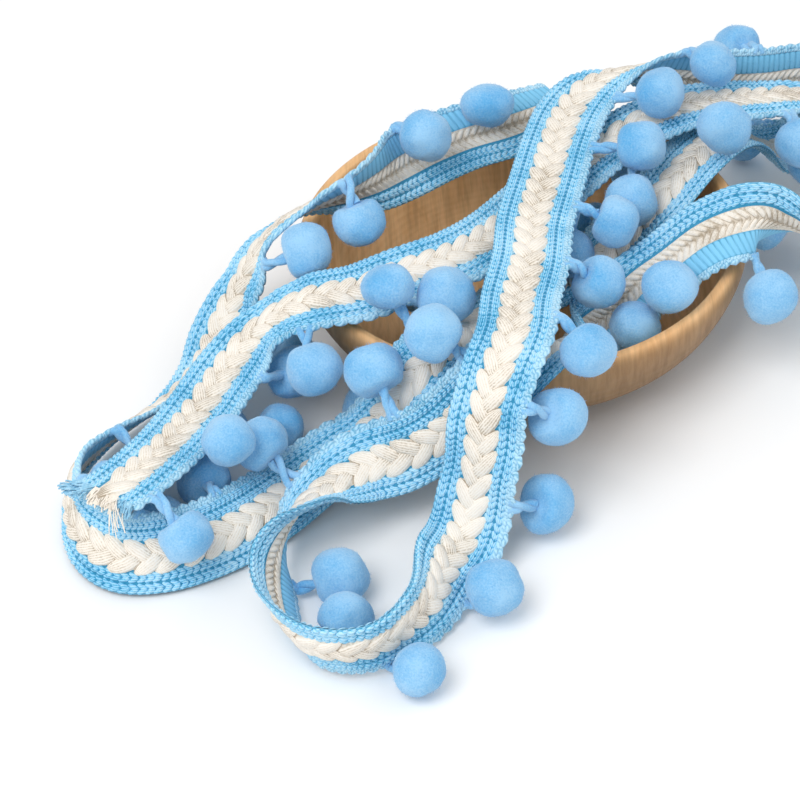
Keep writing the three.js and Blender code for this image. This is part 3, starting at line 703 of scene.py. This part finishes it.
def ball_middle(node, root):
    """The middle of the ball on a root: one radius in from the pole that puts most corners a radius away."""
    corners = np.empty(3 * len(node.data.vertices))
    node.data.vertices.foreach_get("co", corners)
    corners = corners.reshape(-1, 3) / MM
    poles = corners[np.abs(np.linalg.norm(corners - root, axis=1) - POLE_REACH) < POLE_SPAN]
    aims = (poles - root) / np.linalg.norm(poles - root, axis=1, keepdims=True)
    middles = poles - POMPOM_RADIUS * aims
    off = np.abs(np.linalg.norm(corners[None] - middles[:, None], axis=2) - POMPOM_RADIUS)
    return middles[np.argmax((off < BALL_SLACK).sum(axis=1))]


pompoms = []
strips = sorted(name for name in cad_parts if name.startswith("pompoms_"))
count = int((round(braid_length / STATION_STEP) - 2) // POMPOM_STEPS) + 1
for k in range(count):
    distance = STATION_STEP * (1 + POMPOM_STEPS * k)
    root = route_at(distance, POMPOM_ROOT)
    pompoms.append((distance, root, ball_middle(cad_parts[strips[k // POMPOMS_PER_STRIP]], root)))

middles = np.array([middle for _, _, middle in pompoms])
aims = middles - np.array([root for _, root, _ in pompoms])
aims /= np.linalg.norm(aims, axis=1, keepdims=True)
balls = mesh_piece("pompom_balls", middles * MM, [])
balls.data.attributes.new("aim", "FLOAT_VECTOR", "POINT").data.foreach_set("vector", aims.ravel())

rounds = bmesh.new()
bmesh.ops.create_icosphere(rounds, subdivisions=4, radius=1.0)
for corner in rounds.verts:
    corner.co /= sum(abs(part) ** POMPOM_SQUARENESS for part in corner.co) ** (1 / POMPOM_SQUARENESS)
globe_mesh = bpy.data.meshes.new("felt_globe")
rounds.to_mesh(globe_mesh)
rounds.free()
globe_form = bpy.data.objects.new("felt_globe", globe_mesh)
bpy.context.collection.objects.link(globe_form)

felt_balls = bpy.data.node_groups.new("felt_balls", "GeometryNodeTree")
given, result = sockets_of(felt_balls, ("Geometry", "Geometry"), ("Globe", "Object"), ("Radius", "Float"),
                           ("Lumps", "Float"), ("Dent", "Float"), ("Fibres per Area", "Float"),
                           ("Fibre Length", "Float"), ("Seed", "Int"), ("Finish", "Material"))
globe = add(felt_balls, "GeometryNodeObjectInfo", {"Object": given["Globe"]}).outputs["Geometry"]
globe = add(felt_balls, "GeometryNodeStoreNamedAttribute", {
    "Geometry": globe, "Name": "on_ball", "Value": add(felt_balls, "GeometryNodeInputPosition").outputs[0]},
    data_type="FLOAT_VECTOR", domain="POINT").outputs[0]
aim = add(felt_balls, "GeometryNodeInputNamedAttribute", {"Name": "aim"}, data_type="FLOAT_VECTOR").outputs[0]
turn = add(felt_balls, "FunctionNodeAlignRotationToVector", {"Vector": aim}, axis="X").outputs[0]
spin = add(felt_balls, "FunctionNodeRandomValue", {2: 0.0, 3: FULL_TURN, "Seed": given["Seed"]},
           data_type="FLOAT").outputs[1]
spin = add(felt_balls, "ShaderNodeCombineXYZ", {"X": spin}).outputs[0]
spin = add(felt_balls, "FunctionNodeEulerToRotation", {0: spin}).outputs[0]
turn = add(felt_balls, "FunctionNodeRotateRotation", {0: turn, 1: spin}, rotation_space="LOCAL").outputs[0]
stretch = add(felt_balls, "FunctionNodeRandomValue", {
    0: LEAST_STRETCH, 1: MOST_STRETCH, "Seed": given["Seed"]}, data_type="FLOAT_VECTOR").outputs[0]
size = add(felt_balls, "ShaderNodeVectorMath", {0: stretch, "Scale": given["Radius"]},
           operation="SCALE").outputs[0]
felt = add(felt_balls, "GeometryNodeInstanceOnPoints", {"Points": given["Geometry"], "Instance": globe,
                                                        "Rotation": turn, "Scale": size}).outputs[0]
felt = add(felt_balls, "GeometryNodeRealizeInstances", {"Geometry": felt}).outputs[0]
lumps = add(felt_balls, "ShaderNodeTexNoise", {
    "Vector": add(felt_balls, "GeometryNodeInputPosition").outputs[0], "Scale": LUMPS_PER_METRE,
    "Detail": 2.0})
lumps = add(felt_balls, "ShaderNodeMath", {0: lumps.outputs["Fac"], 1: 0.5}, operation="SUBTRACT").outputs[0]
lumps = add(felt_balls, "ShaderNodeMath", {0: lumps, 1: given["Lumps"]}, operation="MULTIPLY").outputs[0]
on_ball = add(felt_balls, "GeometryNodeInputNamedAttribute", {"Name": "on_ball"},
              data_type="FLOAT_VECTOR").outputs[0]
toward_stem = add(felt_balls, "ShaderNodeSeparateXYZ", {0: on_ball}).outputs["X"]
dent = add(felt_balls, "ShaderNodeMapRange", {"Value": toward_stem, "From Min": DENT_FROM, "From Max": -1.0},
           interpolation_type="SMOOTHSTEP").outputs[0]
dent = add(felt_balls, "ShaderNodeMath", {0: dent, 1: given["Dent"]}, operation="MULTIPLY").outputs[0]
rise = add(felt_balls, "ShaderNodeMath", {0: lumps, 1: dent}, operation="SUBTRACT").outputs[0]
lift = add(felt_balls, "ShaderNodeVectorMath", {
    0: add(felt_balls, "GeometryNodeInputNormal").outputs[0], "Scale": rise}, operation="SCALE").outputs[0]
felt = add(felt_balls, "GeometryNodeSetPosition", {"Geometry": felt, "Offset": lift}).outputs[0]
spot = add(felt_balls, "ShaderNodeSeparateXYZ", {
    0: add(felt_balls, "GeometryNodeInputPosition").outputs[0]}).outputs
off_floor = add(felt_balls, "ShaderNodeMath", {0: spot["Z"], 1: FLOOR_GAP * MM},
                operation="MAXIMUM").outputs[0]
pressed = add(felt_balls, "ShaderNodeCombineXYZ", {"X": spot["X"], "Y": spot["Y"], "Z": off_floor}).outputs[0]
felt = add(felt_balls, "GeometryNodeSetPosition", {"Geometry": felt, "Position": pressed}).outputs[0]
felt = add(felt_balls, "GeometryNodeSetShadeSmooth", {0: felt}).outputs[0]
above = add(felt_balls, "ShaderNodeMath", {0: spot["Z"], 1: FIBRE_FLOOR_GAP * MM},
            operation="GREATER_THAN").outputs[0]
scatter = add(felt_balls, "GeometryNodeDistributePointsOnFaces", {
    "Mesh": felt, "Selection": above, "Density": given["Fibres per Area"], "Seed": given["Seed"]})
hair = add(felt_balls, "GeometryNodeMeshCone", {
    "Vertices": 3, "Radius Top": 0.0, "Radius Bottom": FIBRE_RADIUS * MM, "Depth": given["Fibre Length"]},
    fill_type="NONE").outputs[0]
lean = add(felt_balls, "FunctionNodeRandomValue", {
    0: (-FIBRE_LEAN,) * 3, 1: (FIBRE_LEAN,) * 3, "Seed": given["Seed"]}, data_type="FLOAT_VECTOR").outputs[0]
stand = add(felt_balls, "ShaderNodeVectorMath", {0: scatter.outputs["Normal"], 1: lean},
            operation="ADD").outputs[0]
stand = add(felt_balls, "FunctionNodeAlignRotationToVector", {"Vector": stand}, axis="Z").outputs[0]
hairs = add(felt_balls, "GeometryNodeInstanceOnPoints", {
    "Points": scatter.outputs["Points"], "Instance": hair, "Rotation": stand}).outputs[0]
joined = add(felt_balls, "GeometryNodeJoinGeometry")
felt_balls.links.new(hairs, joined.inputs[0])
felt_balls.links.new(felt, joined.inputs[0])
whole_felt = add(felt_balls, "GeometryNodeRealizeInstances", {"Geometry": joined.outputs[0]}).outputs[0]
whole_felt = add(felt_balls, "GeometryNodeSetMaterial", {"Geometry": whole_felt,
                                                         "Material": given["Finish"]}).outputs[0]
felt_balls.links.new(whole_felt, result[0])

blue_felt, tree, shader = finish_of("blue_felt", Roughness=0.95, Specular_IOR_Level=0.1, Sheen_Weight=0.35,
                                    Sheen_Roughness=0.5)
fuzz = add(tree, "ShaderNodeGroup", {"Fineness": 2400, "Fuzz": 0.6}, node_tree=fibres)
tree.links.new(tone_ramp(tree, fuzz.outputs["Tone"], FELT_DEEP, FELT_LIGHT), shader.inputs["Base Color"])
tree.links.new(fuzz.outputs["Normal"], shader.inputs["Normal"])
balls = made_by(balls, felt_balls, {
    "Globe": globe_form, "Radius": POMPOM_RADIUS * MM, "Lumps": 2.8 * MM, "Dent": 1.2 * MM,
    "Fibres per Area": 1.1e6, "Fibre Length": 0.65 * MM, "Seed": 5, "Finish": blue_felt})
bpy.data.objects.remove(globe_form)
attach(balls, "root")
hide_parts(*strips)


# Each pompom hangs on a stem of two thick soft yarns, dyed with the felt. They leave the strip's edge a
# little apart, take half a turn round each other and are drawn into the ball.
STEM_YARN = 0.84
STEM_GAP = 0.58
STEM_SPREAD = 1.9
STEM_EDGE = 7.8
STEM_TWIST = math.radians(200)
STEM_SHORT_OF_MIDDLE = 0.62
STEM_SIDES = 8

yarn_on_line = bpy.data.node_groups.new("yarn_on_line", "GeometryNodeTree")
given, result = sockets_of(yarn_on_line, ("Geometry", "Geometry"), ("Yarn Radius", "Float"), ("Sides", "Int"),
                           ("Finish", "Material"))
round_yarn = add(yarn_on_line, "GeometryNodeCurvePrimitiveCircle", {
    "Resolution": given["Sides"], "Radius": given["Yarn Radius"]}).outputs[0]
yarn = add(yarn_on_line, "GeometryNodeCurveToMesh", {"Curve": given["Geometry"], "Profile Curve": round_yarn,
                                                     "Fill Caps": True}).outputs[0]
yarn = add(yarn_on_line, "GeometryNodeSetShadeSmooth", {0: yarn}).outputs[0]
yarn = add(yarn_on_line, "GeometryNodeRealizeInstances", {"Geometry": yarn}).outputs[0]
yarn = add(yarn_on_line, "GeometryNodeSetMaterial", {
    "Geometry": yarn, "Material": given["Finish"]}).outputs[0]
yarn_on_line.links.new(yarn, result[0])


def yarns_along(name, lines, radius, sides, finish):
    """A piece of round yarns, one along each line of points in millimetres."""
    threads = bpy.data.curves.new(name, "CURVE")
    threads.dimensions = "3D"
    for line in lines:
        spline = threads.splines.new("POLY")
        spline.points.add(len(line) - 1)
        for point, spot in zip(spline.points, line):
            point.co = (*(spot * MM), 1)
    piece = bpy.data.objects.new(name, threads)
    bpy.context.collection.objects.link(piece)
    return made_by(piece, yarn_on_line, {"Yarn Radius": radius * MM, "Sides": sides, "Finish": finish})


stem_lines = []
for (distance, root, middle), aim in zip(pompoms, aims):
    for side in (-1, 1):
        edge = route_at(distance + side * STEM_SPREAD * STEM_GAP, STEM_EDGE)
        beside = route_at(distance + side * STEM_GAP, POMPOM_ROOT) - root
        beneath = np.cross(aim, beside)
        reach = np.linalg.norm(middle - root) - STEM_SHORT_OF_MIDDLE * POMPOM_RADIUS
        twisted = [root + (0.1 + 0.9 * t) * reach * aim + math.cos(STEM_TWIST * t) * beside
                   + math.sin(STEM_TWIST * t) * beneath for t in np.linspace(0, 1, 5)]
        stem_lines.append(smooth_line([edge, *twisted], 3))
stems = yarns_along("pompom_stems", stem_lines, STEM_YARN, STEM_SIDES, blue_felt)
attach(stems, "root")


# The cut end at the front left has frayed. A tuft of blue yarn stands out from the plain border, the plait
# ends in a short cream fringe, and a few long threads hang loose beside it.
FRAY_FROM = 0.5
FRAY_SIDES = 5
FRAY_POINTS = 7
loose = np.random.default_rng(21)
loose_cream = yarn_finish("loose_cream", (CREAM_SHADE, CREAM_LIGHT), (0, 0, 0), 0.2, 2200, 0.3)
FRAYS = (  # name, threads, across from and to, shortest and longest, lean across, droop, yarn radius, finish
    ("frayed_plain_border", 80, (-7.3, -3.4), (1.8, 4.4), -0.55, 0.1, 0.2, soft_yarn),
    ("frayed_plait", 130, (-3.4, 3.2), (1.2, 3.4), 0.1, 0.45, 0.17, loose_cream),
    ("frayed_pompom_border", 60, (3.2, 7.5), (1.0, 3.0), 0.35, 0.3, 0.2, soft_yarn),
    ("loose_threads", 9, (1.8, 4.4), (4.5, 6.5), 0.75, 0.55, 0.12, loose_cream))
for name, amount, span, lengths, lean, droop, radius, finish in FRAYS:
    threads = []
    for _ in range(amount):
        start = route_at(FRAY_FROM, loose.uniform(*span), loose.uniform(-0.2, 0.5))
        reach = loose.uniform(*lengths)
        aside = (lean + loose.uniform(-0.35, 0.35)) * across[0]
        lift = (loose.uniform(-0.3, 0.3) - droop) * outward[0]
        curl = loose.uniform(-0.12, 0.12, 2)
        wave = curl[0] * across[0] + curl[1] * outward[0]
        threads.append([start + reach * (-t * onward[0] + t ** 1.5 * aside + t * t * lift
                                         + math.sin(5 * t) * wave) for t in np.linspace(0, 1, FRAY_POINTS)])
    fray = yarns_along(name, threads, radius, FRAY_SIDES, finish)
    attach(fray, "root")


bpy.data.objects.remove(route)
